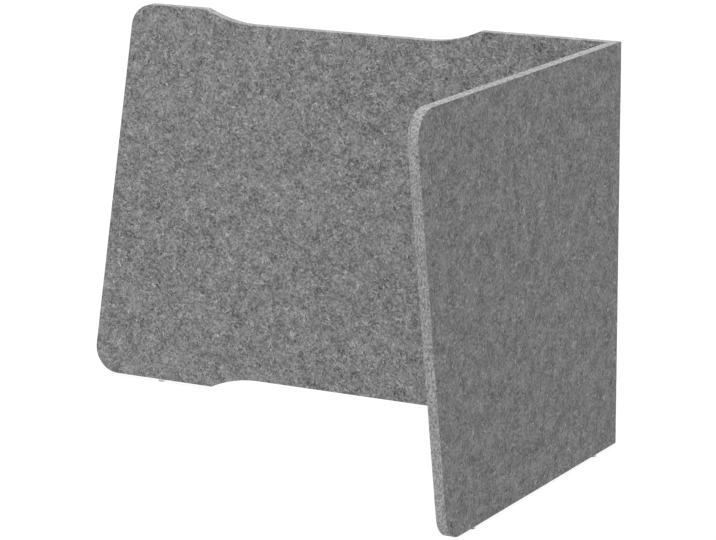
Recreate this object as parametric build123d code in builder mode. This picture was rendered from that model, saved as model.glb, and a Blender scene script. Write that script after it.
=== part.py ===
from build123d import *
import os
from math import atan2, sqrt, tan

# A desk screen of one felt board, cut half through and folded into an L, on four clear bumper feet.
# Millimetres, +Z up. The long back panel runs along X, the wing comes forward along -Y at its +X end.
# The origin is under the middle of the screen's bounding box, on the desk.

# Board
board_thickness = 12.0
panel_height = 460.0
back_length_bottom = 700.0
wing_length_bottom = 415.0
end_slant = 70.0
end_corner_radius = 30.0

# Notches, one in the top and one in the bottom edge of the back panel
notch_width = 360.0
notch_depth = 15.0
notch_arc_radius = 150.0

# Fold, a V cut from the inner side that leaves a skin of felt on the outer side
fold_angle = 90.0
skin_thickness = 2.0
mitre_relief = 0.2

# Feet
bumper_diameter = 8.0
bumper_height = 3.7
bumper_taper = 0.5
bumper_edge_radius = 0.9
adhesive_diameter = 7.4
adhesive_thickness = 0.3
back_foot_from_end = 95.0
wing_foot_from_corner = 50.0
wing_foot_from_end = 66.0

# Worked out from the sizes above
back_length_top = back_length_bottom - end_slant
wing_length_top = wing_length_bottom + end_slant
panel_bottom = bumper_height + adhesive_thickness
panel_top = panel_bottom + panel_height
end_angle = atan2(panel_height, end_slant)
rounding_setback = end_corner_radius / tan(end_angle / 2) - end_corner_radius
corner_x = (back_length_bottom - rounding_setback) / 2
corner_y = (wing_length_top - rounding_setback) / 2
back_end_x = corner_x - back_length_bottom
wing_end_y = corner_y - wing_length_top
back_inner_y = corner_y - board_thickness
wing_inner_x = corner_x - board_thickness
fold_x = corner_x - skin_thickness
fold_y = corner_y - skin_thickness
notch_middle_x = corner_x - back_length_bottom / 2
notch_arc_run = sqrt(notch_arc_radius**2 - (notch_arc_radius - notch_depth) ** 2)
notch_flat_width = notch_width - 2 * notch_arc_run
foot_line_y = corner_y - board_thickness / 2
foot_line_x = corner_x - board_thickness / 2
back_foot_reach = back_length_bottom / 2 - back_foot_from_end

os.makedirs("parts", exist_ok=True)


# Back panel: slanted free end with rounded corners, the two notches, then the mitre in plan
with BuildPart() as back_panel:
    with BuildSketch(Plane.XZ.offset(-corner_y)) as back_outline:
        with BuildLine():
            Polyline(
                (corner_x, panel_bottom),
                (corner_x, panel_top),
                (corner_x - back_length_top, panel_top),
                (back_end_x, panel_bottom),
                close=True,
            )
        make_face()
        fillet(back_outline.vertices().sort_by(Axis.X)[:2], end_corner_radius)
        for edge_z, inward in ((panel_bottom, 1), (panel_top, -1)):
            floor_z = edge_z + inward * notch_depth
            with BuildLine():
                notch_floor = Line(
                    (notch_middle_x - notch_flat_width / 2, floor_z),
                    (notch_middle_x + notch_flat_width / 2, floor_z),
                )
                near_arc = TangentArc(
                    notch_floor @ 1, (notch_middle_x + notch_width / 2, edge_z), tangent=(1, 0)
                )
                far_arc = TangentArc(
                    notch_floor @ 0, (notch_middle_x - notch_width / 2, edge_z), tangent=(-1, 0)
                )
                Line(near_arc @ 1, far_arc @ 1)
            make_face(mode=Mode.SUBTRACT)
    extrude(amount=board_thickness)
    with BuildSketch(Plane.XY.offset(panel_bottom)):
        with BuildLine():
            Polyline(
                (back_end_x, corner_y),
                (fold_x, corner_y),
                (fold_x, fold_y),
                (wing_inner_x - mitre_relief, back_inner_y),
                (back_end_x, back_inner_y),
                close=True,
            )
        make_face()
    extrude(amount=panel_height, mode=Mode.INTERSECT)


# Wing panel: straight edges, the free end slanted the other way, the matching mitre
with BuildPart() as wing_panel:
    with BuildSketch(Plane.YZ.offset(corner_x)) as wing_outline:
        with BuildLine():
            Polyline(
                (corner_y, panel_bottom),
                (corner_y, panel_top),
                (wing_end_y, panel_top),
                (corner_y - wing_length_bottom, panel_bottom),
                close=True,
            )
        make_face()
        fillet(wing_outline.vertices().sort_by(Axis.X)[:2], end_corner_radius)
    extrude(amount=-board_thickness)
    with BuildSketch(Plane.XY.offset(panel_bottom)):
        with BuildLine():
            Polyline(
                (corner_x, wing_end_y),
                (corner_x, fold_y),
                (fold_x, fold_y),
                (wing_inner_x, back_inner_y - mitre_relief),
                (wing_inner_x, wing_end_y),
                close=True,
            )
        make_face()
    extrude(amount=panel_height, mode=Mode.INTERSECT)


# Fold skin: the uncut felt, stretched round the outer corner about the fold line
with BuildPart() as fold_skin:
    with BuildSketch(Plane.XY.offset(panel_bottom)):
        with BuildLine():
            skin_arc = CenterArc((fold_x, fold_y), skin_thickness, 0, fold_angle)
            Polyline(skin_arc @ 1, (fold_x, fold_y), skin_arc @ 0)
        make_face()
    extrude(amount=panel_height)


for name, piece in (("back_panel", back_panel), ("wing_panel", wing_panel), ("fold_skin", fold_skin)):
    piece.part.label = name
    export_step(piece.part, f"parts/{name}.step")


# Bumper feet: tapered clear buttons, each stuck under the board's edge by its own adhesive disc
foot_places = {
    "back_end": (notch_middle_x - back_foot_reach, foot_line_y),
    "back_corner": (notch_middle_x + back_foot_reach, foot_line_y),
    "wing_corner": (foot_line_x, corner_y - wing_foot_from_corner),
    "wing_end": (foot_line_x, corner_y - wing_length_bottom + wing_foot_from_end),
}

for place, (foot_x, foot_y) in foot_places.items():
    with BuildPart() as bumper:
        with BuildSketch(Plane(origin=(foot_x, foot_y, 0), x_dir=(1, 0, 0), z_dir=(0, -1, 0))) as profile:
            with BuildLine():
                Polyline(
                    (0, 0),
                    (bumper_diameter / 2 - bumper_taper, 0),
                    (bumper_diameter / 2, bumper_height),
                    (0, bumper_height),
                    close=True,
                )
            make_face()
            lower_rim = profile.vertices().group_by(Axis.Y)[0].sort_by(Axis.X)[-1]
            fillet(lower_rim, bumper_edge_radius)
        revolve(axis=Axis((foot_x, foot_y, 0), (0, 0, 1)))
    bumper.part.label = f"bumper_{place}"
    export_step(bumper.part, f"parts/bumper_{place}.step")

    with BuildPart() as adhesive:
        with BuildSketch(Plane((foot_x, foot_y, bumper_height))):
            Circle(adhesive_diameter / 2)
        extrude(amount=adhesive_thickness)
    adhesive.part.label = f"adhesive_{place}"
    export_step(adhesive.part, f"parts/adhesive_{place}.step")
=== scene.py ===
import math

import bmesh
import bpy
import numpy as np
from mathutils import Matrix, Vector, geometry, noise


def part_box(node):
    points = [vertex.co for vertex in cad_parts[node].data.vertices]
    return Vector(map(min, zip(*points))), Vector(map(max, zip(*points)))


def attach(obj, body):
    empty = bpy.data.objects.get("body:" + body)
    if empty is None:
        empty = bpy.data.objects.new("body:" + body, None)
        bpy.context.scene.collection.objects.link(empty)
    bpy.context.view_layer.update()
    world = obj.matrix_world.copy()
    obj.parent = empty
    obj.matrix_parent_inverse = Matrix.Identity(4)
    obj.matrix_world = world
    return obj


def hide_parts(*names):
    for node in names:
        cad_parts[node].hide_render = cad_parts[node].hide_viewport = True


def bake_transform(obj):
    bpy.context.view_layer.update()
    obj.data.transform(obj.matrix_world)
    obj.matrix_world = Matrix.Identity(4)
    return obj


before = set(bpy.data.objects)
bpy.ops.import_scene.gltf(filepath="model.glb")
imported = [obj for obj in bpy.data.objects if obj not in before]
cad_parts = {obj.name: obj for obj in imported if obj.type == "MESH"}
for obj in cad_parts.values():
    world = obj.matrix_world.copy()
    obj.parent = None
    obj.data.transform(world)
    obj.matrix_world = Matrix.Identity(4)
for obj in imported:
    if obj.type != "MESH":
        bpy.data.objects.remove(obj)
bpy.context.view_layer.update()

# A desk screen of one heathered felt board, cut half through, folded into an L and set on clear bumper
# feet. Metres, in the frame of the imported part: the back panel runs along X, the wing along -Y.

back_low, back_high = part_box("back_panel")
_, wing_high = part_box("wing_panel")

MM = 0.001

# Board, read from the frame
CORNER_X = wing_high.x
CORNER_Y = back_high.y
FOLD_X = back_high.x
FOLD_Y = wing_high.y
BOTTOM = back_low.z
TOP = back_high.z
MIDDLE = (TOP + BOTTOM) / 2
THICKNESS = back_high.y - back_low.y
SKIN = CORNER_X - FOLD_X
SKIN_ARC = SKIN * math.pi / 2

# Board outline, from the outer corner
BACK_LENGTH_BOTTOM = 0.700
WING_LENGTH_BOTTOM = 0.415
END_SLANT = 0.070
END_RADIUS = 0.030
MITRE_RELIEF = 0.0002
BACK_LENGTH_TOP = BACK_LENGTH_BOTTOM - END_SLANT
WING_LENGTH_TOP = WING_LENGTH_BOTTOM + END_SLANT

# Notches in the back panel's top and bottom edges, with an arc at each end
NOTCH_WIDTH = 0.360
NOTCH_DEPTH = 0.015
NOTCH_RADIUS = 0.150
NOTCH_MIDDLE = BACK_LENGTH_BOTTOM / 2
NOTCH_ARC_RUN = math.sqrt(NOTCH_RADIUS**2 - (NOTCH_RADIUS - NOTCH_DEPTH) ** 2)
NOTCH_ARC_TURN = math.acos(1 - NOTCH_DEPTH / NOTCH_RADIUS)

# Mesh of the felt: the grid that fills its faces, how much finer its arcs are, its rows across the cut
# edge and its steps round the fold
GRID = 4.0 * MM
GRID_MARGIN = 0.6 * GRID
GRID_BATCHES = 40
ARC_FINENESS = 3
EDGE_ROWS = 5
SKIN_STEPS = 10

# How small a turn counts as straight, and how near to each other two points count as one
STRAIGHT_TURN = 1e-3
FILL_REACH = 1e-9
WELD_REACH = 0.002 * MM

# Worn arrises and the soft unevenness of the faces and the cut edges
ARRIS_RADIUS = 0.45 * MM
ARRIS_BAND = 1.3 * MM
ARRIS_ANGLES = (math.pi / 6, math.pi / 3)
ARRIS_CUT_SHARE = 0.5
RELIEF_HEIGHT = 0.11 * MM
RELIEF_LENGTH = 11.0 * MM
BROAD_RELIEF_LENGTH = 5 * RELIEF_LENGTH
EDGE_RELIEF_HEIGHT = 0.10 * MM
EDGE_RELIEF_LENGTH = 6.0 * MM
EDGE_RELIEF_START = Vector((7, 3, 5))

# Greys of the felt: its ground on the faces and on the cuts, how much of the faces' clouds the cuts
# show, its grain and its fibres
FACE_LEVELS = (0.108, 0.270)
CUT_LEVELS = (0.134, 0.470)
CUT_CLOUD_SHARE = 0.65
GRAIN_LEVEL = 0.12
PALE_FIBRE = 0.55
DARK_FIBRE = 0.04

# How far the fibres cover the ground, and how far contrast falls on the outer side and on the cuts
STRAND_SHARE = 0.95
FIBRE_SHARE = 0.30
OUTER_CONTRAST = 0.66
CUT_CONTRAST = 0.55

# The felt's pattern is drawn in millimetres on the unrolled board, and coarser on the outer side
OUTER_SCALE = 0.8

# Curls that push the strands and fibres about: their size, their reach, and how much flatter they are
# through the board
CURL_SIZE = 6.0
STRAND_CURL = 10.0
FIBRE_CURL = 12.0
CURL_FLATNESS = 3

# Strands and fine fibres, whose first direction stands at a share of the step between two directions
STRAND_LENGTH = 9.0
STRAND_WIDTH = 1.15
STRAND_DIRECTIONS = 5
FIBRE_LENGTH = 9.0
FIBRE_SPACING = 0.8
FIBRE_DIRECTIONS = 3
FIRST_DIRECTION_SHARE = 0.3

# Noises of the felt: scale for each millimetre, detail and roughness. Strands and fibres take their
# scale from their own sizes, and layers have one along the board, one up it and one through it.
CLOUD_NOISE = (0.06, 4.0, 0.8)
GRAIN_NOISE = (0.37, 2.0, 0.6)
LAYER_SCALES = (0.35, 0.35, 0.60)
LAYER_NOISE = (1.0, 3.0, 0.65)
BUSY_NOISE = (0.09, 1.0, 0.5)
CURL_NOISE = (1 / CURL_SIZE, 1.0, 0.5)
STRAND_NOISE = (1.0, 2.0, 0.45)
FIBRE_NOISE = (1.0, 0.0, 0.5)
FIBRE_THERE_NOISE = (0.3, 1.0, 0.5)
NOISE_MIDDLE = 0.5

# The values of each noise between which its pattern goes from none to full. A fine fibre lies where its
# noise is near the middle.
GROUND_RANGE = (0.2, 0.8)
LAYER_RANGE = (0.3, 0.7)
BUSY_RANGE = (0.35, 0.65)
PALE_STRAND_RANGE = (0.60, 0.74)
DARK_STRAND_RANGE = (0.40, 0.26)
FIBRE_RANGE = (0.03, 0.0)
FIBRE_THERE_RANGE = (0.42, 0.56)

# How strongly the strands show where they are sparse and where they are busy
BUSY_SHARES = (0.25, 1.0)

# Where each pattern starts, so that none repeats another
GRAIN_START = (31, 7, 3)
BUSY_START = (5, 71, 13)
BLACK_FIBRE_START = 40.0
WHITE_FIBRE_START = 80.0
DIRECTION_START = (11.0, 3.0, 5.0)

# Surface of the felt
FELT_ROUGHNESS = 0.95
FELT_SPECULAR = 0.2
STRAND_BUMP = 0.5
FIBRE_BUMP = 0.15
FELT_BUMP_STRENGTH = 0.5
FELT_BUMP_HEIGHT = 0.3 * MM

# Clear plastic of the bumpers and adhesive discs, whose noises have a scale for each metre
BUMPER_TINT = (0.78, 0.78, 0.78)
BUMPER_ROUGHNESS = 0.10
ADHESIVE_TINT = (0.86, 0.86, 0.84)
ADHESIVE_ROUGHNESS = 0.35
CLEAR_CLOUD_NOISE = (600.0, 3.0, 0.6)
CLEAR_CLOUD_RANGE = (0.3, 0.7)
CLEAR_CLOUD_TINT = 0.93
CLEAR_SPECK_NOISE = (2500.0, 1.0, 0.5)
CLEAR_SPECK_RANGE = (0.3, 0.75)
CLEAR_SPECK_ROUGHNESS = 2.5
CLEAR_TRANSMISSION = 0.85
CLEAR_IOR = 1.47
CLEAR_BUMP_STRENGTH = 0.3
CLEAR_BUMP_HEIGHT = 0.05 * MM

# Stage: the floor's size, its drop below the feet, the grey that light adds to it and its own glow, then
# the world and the lamps
FLOOR_SIZE = 12.0
FLOOR_DROP = 0.1 * MM
FLOOR_SHADE = 0.17
FLOOR_GLOW = 0.885
WORLD_LIGHT = 0.760
LAMPS = {
    "overhead": {"place": (0.0, 0.2, 2.4), "aim": (0.0, 0.0, 0.0), "size": 2.6, "power": 40.5},
    "front_left": {"place": (-1.6, -3.0, 1.0), "aim": (0.0, 0.0, 0.2), "size": 1.8, "power": 28.3},
}

# Camera, fitted to the photograph's edges: angles in degrees, lens and sensor in millimetres
CAMERA_AZIMUTH = 28.972
CAMERA_ELEVATION = 13.314
CAMERA_ROLL = 0.244
CAMERA_DISTANCE = 3.637
CAMERA_AIM = Vector((0.10484, 0.07565, 0.21260))
CAMERA_LENS = 164.474
CAMERA_SENSOR = 36.0


# Outline of a panel in its own plane: run is the distance from the fold line, then the height


def line_points(start, end, count):
    """Evenly spaced points from start towards end, without the end itself."""
    share = np.arange(count)[:, None] / count
    return np.array(start) * (1 - share) + np.array(end) * share


def arc_points(centre, radius, first, last, count):
    """Points on an arc from the first angle towards the last, without the last itself."""
    angle = first + (last - first) * np.arange(count) / count
    return np.array(centre) + radius * np.stack([np.cos(angle), np.sin(angle)], 1)


def arc_ends(arc):
    """The first and the last point of an arc."""
    centre, radius, first, last = arc
    return [centre + radius * np.array((math.cos(angle), math.sin(angle))) for angle in (first, last)]


def steps_for(length):
    """How many steps of the grid a length takes."""
    return max(2, int(math.ceil(length / GRID)))


def stretch_points(stretch, backwards=False):
    """Points along a stretch of the outline. A line is its two ends and the length that sets its steps,
    and an arc its centre, radius, first and last angle."""
    if len(stretch) == 3:
        start, end, length = stretch
        start, end = (end, start) if backwards else (start, end)
        return line_points(start, end, steps_for(length))
    centre, radius, first, last = stretch
    first, last = (last, first) if backwards else (first, last)
    count = ARC_FINENESS * steps_for(radius * abs(last - first))
    return arc_points(centre, radius, first, last, count)


def rounded_corner(before, corner, after):
    """The arc of the end rounding at a corner of the outline."""
    a = (before - corner) / np.linalg.norm(before - corner)
    b = (after - corner) / np.linalg.norm(after - corner)
    half = math.acos(float(np.dot(a, b))) / 2
    middle = (a + b) / np.linalg.norm(a + b)
    centre = corner + middle * END_RADIUS / math.sin(half)
    touch_a = corner + a * END_RADIUS / math.tan(half) - centre
    touch_b = corner + b * END_RADIUS / math.tan(half) - centre
    first = math.atan2(touch_a[1], touch_a[0])
    turn = (math.atan2(touch_b[1], touch_b[0]) - first + math.pi) % (2 * math.pi) - math.pi
    return centre, END_RADIUS, first, first + turn


def edge_stretches(fold_run, end_run, edge_z, inward, notched):
    """The stretches of a top or bottom edge, from the fold towards the free end. The length that sets a
    line's steps is counted from the fold line, so it is the same for every row of the rim."""
    fold_point = np.array((fold_run, edge_z))
    end_point = np.array((end_run, edge_z))
    if not notched:
        return [(fold_point, end_point, end_run)]
    near = NOTCH_MIDDLE - SKIN - NOTCH_WIDTH / 2
    far = NOTCH_MIDDLE - SKIN + NOTCH_WIDTH / 2
    floor_z = edge_z + inward * NOTCH_DEPTH
    floor_near = np.array((near + NOTCH_ARC_RUN, floor_z))
    floor_far = np.array((far - NOTCH_ARC_RUN, floor_z))
    to_centre = np.array((0.0, -inward * NOTCH_RADIUS))
    up = inward * math.pi / 2
    turn = inward * NOTCH_ARC_TURN
    return [
        (fold_point, np.array((near, edge_z)), near),
        (floor_near + to_centre, NOTCH_RADIUS, up + turn, up),
        (floor_near, floor_far, far - near - 2 * NOTCH_ARC_RUN),
        (floor_far + to_centre, NOTCH_RADIUS, up, up - turn),
        (np.array((far, edge_z)), end_point, end_run - far),
    ]


def outline(length_bottom, length_top, fold_run, notched):
    """The panel's outline, from the fold's foot along the bottom, up the free end and back, and how many
    of its last points lie on the fold edge."""
    foot = np.array((length_bottom - SKIN, BOTTOM))
    head = np.array((length_top - SKIN, TOP))
    low = rounded_corner(np.array((0.0, BOTTOM)), foot, head)
    high = rounded_corner(foot, head, np.array((0.0, TOP)))
    low_start, low_end = arc_ends(low)
    high_start, high_end = arc_ends(high)
    bottom = edge_stretches(fold_run, low_start[0], BOTTOM, 1, notched)
    top = edge_stretches(fold_run, high_end[0], TOP, -1, notched)
    free_end = (low_end, high_start, float(np.linalg.norm(high_start - low_end)))
    loops = [stretch_points(stretch) for stretch in [*bottom, low, free_end, high]]
    loops += [stretch_points(stretch, backwards=True) for stretch in reversed(top)]
    loops.append(line_points((fold_run, TOP), (fold_run, BOTTOM), steps_for(TOP - BOTTOM)))
    return np.concatenate(loops), len(loops[-1])


def moved_inward(points, fold_count, inset, fold_inset):
    """The outline drawn in by inset at its free edges and by fold_inset at the fold."""
    step = np.roll(points, -1, 0) - points
    normal = np.stack([-step[:, 1], step[:, 0]], 1) / np.linalg.norm(step, axis=1)[:, None]
    reach = np.full(len(points), inset)
    reach[len(points) - fold_count:] = fold_inset
    normal_before, reach_before = np.roll(normal, 1, 0), np.roll(reach, 1)
    cross = normal_before[:, 0] * normal[:, 1] - normal_before[:, 1] * normal[:, 0]
    straight = np.abs(cross) < STRAIGHT_TURN
    safe = np.where(straight, 1.0, cross)
    x = (reach_before * normal[:, 1] - reach * normal_before[:, 1]) / safe
    y = (reach * normal_before[:, 0] - reach_before * normal[:, 0]) / safe
    met = np.stack([x, y], 1)
    plain = normal * reach[:, None]
    return points + np.where(straight[:, None], plain, met)


# Mesh of a panel


def fold_run_at(depth):
    """How far back from the fold line the mitre stands, at a depth from the outer face."""
    return max(0.0, depth - SKIN) * (1 + MITRE_RELIEF / (THICKNESS - SKIN))


def arris_turn():
    """Depth and inset at the places round a worn arris, the one nearest the face first."""
    return [(ARRIS_RADIUS * (1 - math.cos(a)), ARRIS_RADIUS * (1 - math.sin(a))) for a in ARRIS_ANGLES]


def even_row(depth, inset, cut):
    """A row round the rim that is the same at the fold as at the free edges."""
    return depth, inset, depth, inset, cut


def rim_rows():
    """The rows round a panel's rim, from the outer face to the inner one. Each is its depth and inset at
    the free edges, its depth and inset at the fold, and how far it is cut edge."""
    near_face, near_edge = arris_turn()
    rows = [
        even_row(0.0, ARRIS_BAND, 0.0),
        even_row(0.0, ARRIS_RADIUS, 0.0),
        (*near_face, 0.0, 0.0, ARRIS_CUT_SHARE),
        (*near_edge, ARRIS_RADIUS / 2, 0.0, 1.0),
        even_row(ARRIS_RADIUS, 0.0, 1.0),
    ]
    rows += [even_row(depth, 0.0, 1.0) for depth in np.linspace(SKIN, THICKNESS - SKIN, EDGE_ROWS)]
    rows.append(even_row(THICKNESS - ARRIS_RADIUS, 0.0, 1.0))
    for (depth, inset), cut in ((near_edge, 1.0), (near_face, ARRIS_CUT_SHARE)):
        rows.append(even_row(THICKNESS - depth, inset, cut))
    rows.append(even_row(THICKNESS, ARRIS_RADIUS, 0.0))
    rows.append(even_row(THICKNESS, ARRIS_BAND, 0.0))
    return rows


def rim_points(row, length_bottom, length_top, notched):
    """The points of a row round the rim. Each is its run, depth, height, how far it is cut edge, and the
    way out of the board there along the run and up."""
    edge_depth, inset, fold_depth, fold_inset, row_cut = row
    loop, fold_count = outline(length_bottom, length_top, fold_run_at(fold_depth), notched)
    loop = moved_inward(loop, fold_count, inset, fold_inset)
    on_fold = np.arange(len(loop)) > len(loop) - fold_count
    step = np.roll(loop, -1, 0) - np.roll(loop, 1, 0)
    side = np.stack([step[:, 1], -step[:, 0]], 1) / np.linalg.norm(step, axis=1)[:, None]
    depth = np.where(on_fold, fold_depth, edge_depth)
    cut = np.where(on_fold & (fold_depth < SKIN), 0.0, row_cut)
    out = np.where(on_fold[:, None], 0.0, side * row_cut)
    return np.column_stack([loop[:, 0], depth, loop[:, 1], cut, out])


def face_points(points, depth):
    """Points on a face of the board, in the form of the rim's."""
    zero = np.zeros(len(points))
    return np.column_stack([points[:, 0], zero + depth, points[:, 1], zero, zero, zero])


def inside(points, loop, margin):
    """Which points lie inside a loop and at least margin from it."""
    a, b = loop, np.roll(loop, -1, 0)
    x, y = points[:, :1], points[:, 1:]
    crosses = (a[:, 1] > y) != (b[:, 1] > y)
    rise = np.where(b[:, 1] == a[:, 1], 1.0, b[:, 1] - a[:, 1])
    at = a[:, 0] + (y - a[:, 1]) * (b[:, 0] - a[:, 0]) / rise
    within = (crosses & (x < at)).sum(1) % 2 == 1
    near = np.min((a[:, 0] - x) ** 2 + (a[:, 1] - y) ** 2, axis=1) > margin**2
    return within & near


def filled(loop):
    """Points inside a loop and the faces that fill it, where the loop's own points come first."""
    low, high = loop.min(0), loop.max(0)
    across = np.arange(low[0] + GRID / 2, high[0], GRID)
    up = np.arange(low[1] + GRID / 2, high[1], GRID)
    grid = np.stack(np.meshgrid(across, up), -1).reshape(-1, 2)
    batches = np.array_split(grid, GRID_BATCHES)
    kept = np.concatenate([batch[inside(batch, loop, GRID_MARGIN)] for batch in batches])
    flat = [Vector(point) for point in np.concatenate([loop, kept])]
    ring = [list(range(len(loop)))]
    faces = geometry.delaunay_2d_cdt(flat, [], ring, 1, FILL_REACH)[2]
    return kept, faces


def relief(place):
    """Height of the felt's soft unevenness at a place on the unrolled board."""
    soft = noise.noise(Vector(place) / RELIEF_LENGTH)
    broad = noise.noise(Vector(place) / BROAD_RELIEF_LENGTH)
    return RELIEF_HEIGHT * (soft + broad)


def edge_relief(place):
    """Height of the cut edge's unevenness at a place on the unrolled board."""
    return EDGE_RELIEF_HEIGHT * noise.noise(Vector(place) / EDGE_RELIEF_LENGTH + EDGE_RELIEF_START)


def work_on(piece, *steps):
    """Runs steps on a piece's mesh, then turns its faces outward."""
    work = bmesh.new()
    work.from_mesh(piece.data)
    for step in steps:
        step(work)
    bmesh.ops.recalc_face_normals(work, faces=work.faces)
    work.to_mesh(piece.data)
    work.free()


def weld(work):
    """Joins the points that lie on each other and drops the faces that this leaves empty."""
    bmesh.ops.remove_doubles(work, verts=work.verts, dist=WELD_REACH)
    bmesh.ops.dissolve_degenerate(work, edges=work.edges, dist=WELD_REACH)


def felt_object(name, places, faces, board_places, cut, material):
    """A closed felt mesh that carries its unrolled places and its cut edges as attributes."""
    mesh = bpy.data.meshes.new(name)
    mesh.from_pydata([tuple(place) for place in places], [], faces)
    board_place = mesh.attributes.new("board_place", "FLOAT_VECTOR", "POINT")
    board_place.data.foreach_set("vector", np.array(board_places, np.float32).ravel())
    cut_edge = mesh.attributes.new("cut_edge", "FLOAT", "POINT")
    cut_edge.data.foreach_set("value", np.array(cut, np.float32))
    mesh.materials.append(material)
    mesh.shade_smooth()
    mesh.validate()
    piece = bpy.data.objects.new(name, mesh)
    bpy.context.scene.collection.objects.link(piece)
    work_on(piece)
    return piece


def panel(name, length_bottom, length_top, notched, place, board_place, material):
    """A felt panel: place maps run, depth and height into the frame, board_place onto the flat board."""
    rim = [rim_points(row, length_bottom, length_top, notched) for row in rim_rows()]
    count = len(rim[0])
    last = len(rim) - 1
    faces = []
    for k in range(last):
        for i in range(count):
            here, after = k * count + i, k * count + (i + 1) % count
            faces.append((here, after, after + count, here + count))
    blocks = list(rim)
    for row, face_depth in ((0, 0.0), (last, THICKNESS)):
        start = sum(len(block) for block in blocks)
        kept, caps = filled(rim[row][:, [0, 2]])
        blocks.append(face_points(kept, face_depth))
        for face in caps:
            faces.append(tuple(row * count + i if i < count else start + i - count for i in face))
    places, flat, cut = [], [], []
    for run, depth, height, cut_share, out_run, out_up in np.concatenate(blocks):
        lies = board_place(run, depth, height)
        on_face = depth < ARRIS_RADIUS or depth > THICKNESS - ARRIS_RADIUS
        lift = relief(lies) if on_face else 0.0
        push = edge_relief(lies)
        depth += lift if depth > THICKNESS / 2 else -lift
        places.append(place(run + push * out_run, depth, height + push * out_up))
        flat.append(lies)
        cut.append(cut_share)
    return felt_object(name, places, faces, flat, cut, material)


# Where a panel's points go in the frame, and where they lie on the board unrolled past the fold line


def back_place(run, depth, height):
    return FOLD_X - run, CORNER_Y - depth, height


def back_board_place(run, depth, height):
    return -run, height, depth


def wing_place(run, depth, height):
    return CORNER_X - depth, FOLD_Y - run, height


def wing_board_place(run, depth, height):
    return run + SKIN_ARC, height, depth


# Mesh of the hinge


def skin_profile():
    """Depth, height and cut share down the hinge skin, from the fold axis at its head to its foot."""
    near_face, near_edge = arris_turn()
    head = [
        (SKIN, 0.0, 1.0),
        (ARRIS_RADIUS, 0.0, 1.0),
        (*near_edge, 1.0),
        (*near_face, ARRIS_CUT_SHARE),
        (0.0, ARRIS_RADIUS, 0.0),
        (0.0, ARRIS_BAND, 0.0),
    ]
    heights = np.linspace(TOP - ARRIS_BAND, BOTTOM + ARRIS_BAND, steps_for(TOP - BOTTOM))[1:-1]
    rows = [(depth, TOP - down, cut) for depth, down, cut in head]
    rows += [(0.0, height, 0.0) for height in heights]
    rows += [(depth, BOTTOM + down, cut) for depth, down, cut in reversed(head)]
    return rows


def hinge_skin(name, material):
    """The uncut skin round the outer corner, a quarter round about the fold line."""
    rows = skin_profile()
    places, flat, cut = [], [], []
    for step in range(SKIN_STEPS + 1):
        share = step / SKIN_STEPS
        angle = math.pi / 2 * (1 - share)
        for depth, height, row_cut in rows:
            lies = (SKIN_ARC * share, height, depth)
            lift = relief(lies) if depth < ARRIS_RADIUS else 0.0
            radius = max(0.0, SKIN - depth + (lift if depth < SKIN else 0.0))
            outward = 1 if height > MIDDLE else -1
            up = edge_relief(lies) * row_cut * outward if radius > 0 else 0.0
            x = FOLD_X + radius * math.cos(angle)
            y = FOLD_Y + radius * math.sin(angle)
            places.append((x, y, height + up))
            flat.append(lies)
            cut.append(row_cut)
    count = len(rows)
    faces = []
    for step in range(SKIN_STEPS):
        for k in range(count - 1):
            a, b = step * count + k, (step + 1) * count + k
            faces.append((a, a + 1, b + 1, b))
    axis = len(places)
    for depth, height, row_cut in rows:
        places.append((FOLD_X, FOLD_Y, height))
        flat.append((SKIN_ARC / 2, height, SKIN))
        cut.append(row_cut)
    for side in (0, SKIN_STEPS * count):
        for k in range(count - 1):
            faces.append((side + k, side + k + 1, axis + k + 1, axis + k))
    piece = felt_object(name, places, faces, flat, cut, material)
    work_on(piece, weld)
    return piece


# Materials


class Tree:
    """The nodes of a material or a world, added one at a time."""

    def __init__(self, owner):
        owner.use_nodes = True
        self.nodes = owner.node_tree.nodes
        self.links = owner.node_tree.links

    def feed(self, node, inputs):
        """Gives a node its inputs, each a value or the output of another node."""
        for key, value in inputs.items():
            if isinstance(value, bpy.types.NodeSocket):
                self.links.new(value, node.inputs[key])
            else:
                node.inputs[key].default_value = value

    def add(self, kind, inputs=(), **settings):
        node = self.nodes.new(kind)
        for key, value in settings.items():
            setattr(node, key, value)
        self.feed(node, dict(inputs))
        return node

    def math(self, operation, a, b=0.0):
        return self.add("ShaderNodeMath", {0: a, 1: b}, operation=operation).outputs[0]

    def vector(self, operation, a, b):
        return self.add("ShaderNodeVectorMath", {0: a, 1: b}, operation=operation).outputs[0]

    def noise(self, place, scale, detail, roughness, output="Fac"):
        inputs = {"Vector": place, "Scale": scale, "Detail": detail, "Roughness": roughness}
        return self.add("ShaderNodeTexNoise", inputs).outputs[output]

    def stretched(self, place, turn, scale):
        inputs = {"Vector": place, "Rotation": (0.0, 0.0, turn), "Scale": scale}
        return self.add("ShaderNodeMapping", inputs, vector_type="TEXTURE").outputs[0]

    def ranged(self, value, low, high, to_low=0.0, to_high=1.0):
        inputs = {"Value": value, "From Min": low, "From Max": high, "To Min": to_low, "To Max": to_high}
        return self.add("ShaderNodeMapRange", inputs, interpolation_type="SMOOTHSTEP").outputs[0]

    def blended(self, share, a, b):
        """A number that goes from a to b as share goes from 0 to 1."""
        return self.add("ShaderNodeMix", {0: share, 2: a, 3: b}, data_type="FLOAT").outputs[0]

    def mixed(self, share, a, b):
        """A colour that goes from a to b as share goes from 0 to 1."""
        return self.add("ShaderNodeMix", {0: share, 6: a, 7: b}, data_type="RGBA").outputs[2]

    def shader(self, kind, inputs):
        """The output of a new shader node."""
        return self.add(kind, inputs).outputs[0]


def grey(level):
    return (level, level, level, 1.0)


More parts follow.
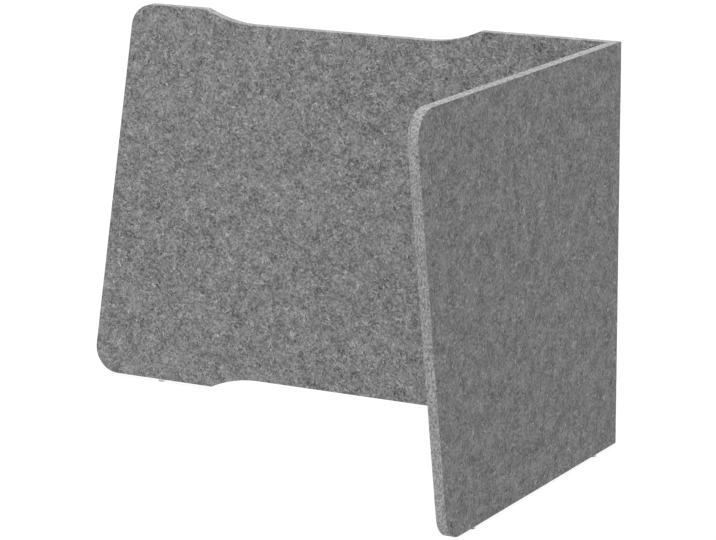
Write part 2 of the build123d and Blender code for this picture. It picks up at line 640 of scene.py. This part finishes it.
def curled(tree, place, reach):
    """A place pushed about by curls, so that what is drawn at it bends."""
    curl = tree.noise(place, *CURL_NOISE, output="Color")
    curl = tree.vector("SUBTRACT", curl, (NOISE_MIDDLE, NOISE_MIDDLE, NOISE_MIDDLE))
    push = tree.vector("MULTIPLY", curl, (reach, reach, reach / CURL_FLATNESS))
    return tree.vector("ADD", place, push)


def directions(tree, place, count, length, width, start=0.0):
    """The place drawn out along each of count directions, with a pattern of its own in each."""
    for k in range(count):
        turn = math.pi * (k + FIRST_DIRECTION_SHARE) / count
        along = tree.stretched(place, turn, (length, width, width))
        x, y, z = (k * step for step in DIRECTION_START)
        yield tree.vector("ADD", along, (start + x, y, z))


def strands(tree, place):
    """Soft strands along several directions: the palest and the darkest of them at a place."""
    place = curled(tree, place, STRAND_CURL)
    pale = dark = None
    for along in directions(tree, place, STRAND_DIRECTIONS, STRAND_LENGTH, STRAND_WIDTH):
        strand = tree.noise(along, *STRAND_NOISE)
        pale = strand if pale is None else tree.math("MAXIMUM", pale, strand)
        dark = strand if dark is None else tree.math("MINIMUM", dark, strand)
    return pale, dark


def fine_fibres(tree, place, start):
    """Thin single fibres of even width along a few directions, which come and go along their run."""
    place = curled(tree, tree.vector("ADD", place, (start, 0, 0)), FIBRE_CURL)
    nearest = None
    for along in directions(tree, place, FIBRE_DIRECTIONS, FIBRE_LENGTH, FIBRE_SPACING, start):
        wave = tree.noise(along, *FIBRE_NOISE)
        away = tree.math("ABSOLUTE", tree.math("SUBTRACT", wave, NOISE_MIDDLE))
        nearest = away if nearest is None else tree.math("MINIMUM", nearest, away)
    there = tree.noise(tree.vector("ADD", place, (start, 0, 0)), *FIBRE_THERE_NOISE)
    there = tree.ranged(there, *FIBRE_THERE_RANGE)
    return tree.math("MULTIPLY", tree.ranged(nearest, *FIBRE_RANGE), there)


def felt_ground(tree, place, cut, contrast):
    """The felt's grey under its fibres: clouds and grain, and pale layers where it is cut."""
    cloud = tree.ranged(tree.noise(place, *CLOUD_NOISE), *GROUND_RANGE, *FACE_LEVELS)
    grain = tree.noise(tree.vector("ADD", place, GRAIN_START), *GRAIN_NOISE)
    grain = tree.ranged(grain, *GROUND_RANGE, -GRAIN_LEVEL, GRAIN_LEVEL)
    layer = tree.noise(tree.vector("MULTIPLY", place, LAYER_SCALES), *LAYER_NOISE)
    layer = tree.ranged(layer, *LAYER_RANGE, *CUT_LEVELS)
    clouded = tree.math("SUBTRACT", cloud, sum(FACE_LEVELS) / 2)
    layer = tree.math("ADD", layer, tree.math("MULTIPLY", clouded, CUT_CLOUD_SHARE))
    ground = tree.blended(cut, cloud, layer)
    return tree.math("ADD", ground, tree.math("MULTIPLY", grain, contrast))


def felt_material():
    """Heathered felt: pale and dark curly fibres over a clouded ground, and pale layers on the cuts."""
    material = bpy.data.materials.new("felt")
    tree = Tree(material)
    board = tree.add("ShaderNodeAttribute", attribute_name="board_place").outputs["Vector"]
    depth = tree.add("ShaderNodeSeparateXYZ", {"Vector": board}).outputs["Z"]
    outer = tree.math("LESS_THAN", depth, ARRIS_RADIUS / 2)
    scale = tree.blended(outer, 1 / MM, OUTER_SCALE / MM)
    place = tree.add("ShaderNodeVectorMath", {0: board, "Scale": scale}, operation="SCALE").outputs[0]
    cut = tree.add("ShaderNodeAttribute", attribute_name="cut_edge").outputs["Fac"]
    contrast = tree.blended(cut, tree.blended(outer, 1.0, OUTER_CONTRAST), CUT_CONTRAST)
    ground = felt_ground(tree, place, cut, contrast)
    colour = tree.add("ShaderNodeCombineColor", {0: ground, 1: ground, 2: ground}).outputs[0]

    busy = tree.noise(tree.vector("ADD", place, BUSY_START), *BUSY_NOISE)
    busy = tree.math("MULTIPLY", tree.ranged(busy, *BUSY_RANGE, *BUSY_SHARES), contrast)
    pale, dark = strands(tree, place)
    pale_share = tree.math("MULTIPLY", tree.ranged(pale, *PALE_STRAND_RANGE), busy)
    dark_share = tree.math("MULTIPLY", tree.ranged(dark, *DARK_STRAND_RANGE), busy)
    black = fine_fibres(tree, place, BLACK_FIBRE_START)
    white = fine_fibres(tree, place, WHITE_FIBRE_START)
    fibre_share = tree.math("MULTIPLY", contrast, FIBRE_SHARE)
    for share, cover, level in (
        (dark_share, STRAND_SHARE, DARK_FIBRE),
        (pale_share, STRAND_SHARE, PALE_FIBRE),
        (black, fibre_share, DARK_FIBRE),
        (white, fibre_share, PALE_FIBRE),
    ):
        colour = tree.mixed(tree.math("MULTIPLY", share, cover), colour, grey(level))

    strand_height = tree.math("MULTIPLY", pale, STRAND_BUMP)
    fibre_height = tree.math("MULTIPLY", tree.math("SUBTRACT", white, black), FIBRE_BUMP)
    height = tree.math("ADD", strand_height, fibre_height)
    bump_inputs = {"Height": height, "Strength": FELT_BUMP_STRENGTH, "Distance": FELT_BUMP_HEIGHT}
    bump = tree.add("ShaderNodeBump", bump_inputs)
    tree.feed(
        tree.nodes["Principled BSDF"],
        {
            "Base Color": colour,
            "Roughness": FELT_ROUGHNESS,
            "Specular IOR Level": FELT_SPECULAR,
            "Normal": bump.outputs["Normal"],
        },
    )
    return material


def clear_material(name, tint, roughness):
    """Clear soft plastic with faint clouding and a slightly uneven skin."""
    material = bpy.data.materials.new(name)
    tree = Tree(material)
    place = tree.add("ShaderNodeTexCoord").outputs["Object"]
    cloud = tree.noise(place, *CLEAR_CLOUD_NOISE)
    speck = tree.noise(place, *CLEAR_SPECK_NOISE)
    clouded_tint = [level * CLEAR_CLOUD_TINT for level in tint]
    colour = tree.mixed(tree.ranged(cloud, *CLEAR_CLOUD_RANGE), (*tint, 1.0), (*clouded_tint, 1.0))
    rough = tree.ranged(speck, *CLEAR_SPECK_RANGE, roughness, roughness * CLEAR_SPECK_ROUGHNESS)
    bump_inputs = {"Height": cloud, "Strength": CLEAR_BUMP_STRENGTH, "Distance": CLEAR_BUMP_HEIGHT}
    bump = tree.add("ShaderNodeBump", bump_inputs)
    tree.feed(
        tree.nodes["Principled BSDF"],
        {
            "Base Color": colour,
            "Roughness": rough,
            "Transmission Weight": CLEAR_TRANSMISSION,
            "IOR": CLEAR_IOR,
            "Normal": bump.outputs["Normal"],
        },
    )
    return material


# Stage


def white_to_the_lens(tree):
    """Is 1 for rays that see the stage itself: from the camera, in a gloss or through clear plastic."""
    path = tree.add("ShaderNodeLightPath")
    seen = path.outputs["Is Camera Ray"]
    for name in ("Is Glossy Ray", "Is Transmission Ray"):
        seen = tree.math("MAXIMUM", seen, path.outputs[name])
    return seen


def make_world():
    """A plain world that lights the object at its own level and is white to the lens."""
    world = bpy.data.worlds.new("studio")
    bpy.context.scene.world = world
    tree = Tree(world)
    light = tree.nodes["Background"]
    tree.feed(light, {"Color": grey(1.0), "Strength": WORLD_LIGHT})
    white = tree.shader("ShaderNodeBackground", {"Color": grey(1.0), "Strength": 1.0})
    inputs = {0: white_to_the_lens(tree), 1: light.outputs[0], 2: white}
    tree.feed(tree.nodes["World Output"], {"Surface": tree.shader("ShaderNodeMixShader", inputs)})


def make_floor():
    """A pale floor that keeps the shadow and lets the soft light up through it to the object."""
    mesh = bpy.data.meshes.new("floor")
    half = FLOOR_SIZE / 2
    corners = [(-half, -half), (half, -half), (half, half), (-half, half)]
    mesh.from_pydata([(x, y, -FLOOR_DROP) for x, y in corners], [], [(0, 1, 2, 3)])
    floor = bpy.data.objects.new("floor", mesh)
    bpy.context.scene.collection.objects.link(floor)
    material = bpy.data.materials.new("floor")
    tree = Tree(material)
    tree.nodes.remove(tree.nodes["Principled BSDF"])
    open_to_light = tree.shader("ShaderNodeBsdfTransparent", {"Color": grey(1.0)})
    shaded = tree.shader("ShaderNodeBsdfDiffuse", {"Color": grey(FLOOR_SHADE)})
    lit = tree.shader("ShaderNodeEmission", {"Color": grey(1.0), "Strength": FLOOR_GLOW})
    seen = tree.shader("ShaderNodeAddShader", {0: shaded, 1: lit})
    inputs = {0: white_to_the_lens(tree), 1: open_to_light, 2: seen}
    tree.feed(tree.nodes["Material Output"], {"Surface": tree.shader("ShaderNodeMixShader", inputs)})
    mesh.materials.append(material)


def make_lamp(name, place, aim, size, power):
    """A soft square lamp that points at aim."""
    data = bpy.data.lights.new(name, "AREA")
    data.shape = "SQUARE"
    data.size = size
    data.energy = power
    lamp = bpy.data.objects.new(name, data)
    lamp.location = place
    lamp.rotation_euler = (Vector(aim) - Vector(place)).to_track_quat("-Z", "Y").to_euler()
    bpy.context.scene.collection.objects.link(lamp)


def make_camera():
    """A camera at the photograph's viewing angle, with no shift."""
    azimuth = math.radians(CAMERA_AZIMUTH)
    elevation = math.radians(CAMERA_ELEVATION)
    roll = math.radians(CAMERA_ROLL)
    back = Vector((
        math.sin(azimuth) * math.cos(elevation),
        -math.cos(azimuth) * math.cos(elevation),
        math.sin(elevation),
    ))
    level_right = Vector((math.cos(azimuth), math.sin(azimuth), 0.0))
    level_down = back.cross(level_right) * -1
    right = level_right * math.cos(roll) + level_down * math.sin(roll)
    down = level_down * math.cos(roll) - level_right * math.sin(roll)
    data = bpy.data.cameras.new("camera")
    data.sensor_width = CAMERA_SENSOR
    data.lens = CAMERA_LENS
    camera = bpy.data.objects.new("camera", data)
    turn = Matrix((right, -down, back)).transposed()
    camera.matrix_world = Matrix.Translation(CAMERA_AIM + back * CAMERA_DISTANCE) @ turn.to_4x4()
    bpy.context.scene.collection.objects.link(camera)
    bpy.context.scene.camera = camera


# The object and its stage


def make_board():
    """The two felt panels and the skin between them, in place of their solids."""
    felt = felt_material()
    back_lengths = (BACK_LENGTH_BOTTOM, BACK_LENGTH_TOP)
    back = panel("back_felt", *back_lengths, True, back_place, back_board_place, felt)
    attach(back, "back")
    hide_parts("back_panel")
    wing_lengths = (WING_LENGTH_BOTTOM, WING_LENGTH_TOP)
    wing = panel("wing_felt", *wing_lengths, False, wing_place, wing_board_place, felt)
    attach(wing, "wing")
    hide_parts("wing_panel")
    skin = hinge_skin("hinge_felt", felt)
    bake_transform(skin)
    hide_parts("fold_skin")


def finish_feet():
    """Clear materials for the bumpers and the adhesive discs, which stay as they are."""
    clear = {
        "bumper": clear_material("bumper", BUMPER_TINT, BUMPER_ROUGHNESS),
        "adhesive": clear_material("adhesive", ADHESIVE_TINT, ADHESIVE_ROUGHNESS),
    }
    for name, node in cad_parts.items():
        kind = name.split("_")[0]
        if kind in clear:
            node.data.materials.clear()
            node.data.materials.append(clear[kind])


def main():
    make_board()
    finish_feet()
    make_floor()
    make_world()
    for name, lamp in LAMPS.items():
        make_lamp(name, **lamp)
    bpy.context.scene.view_settings.view_transform = "Standard"
    make_camera()


main()
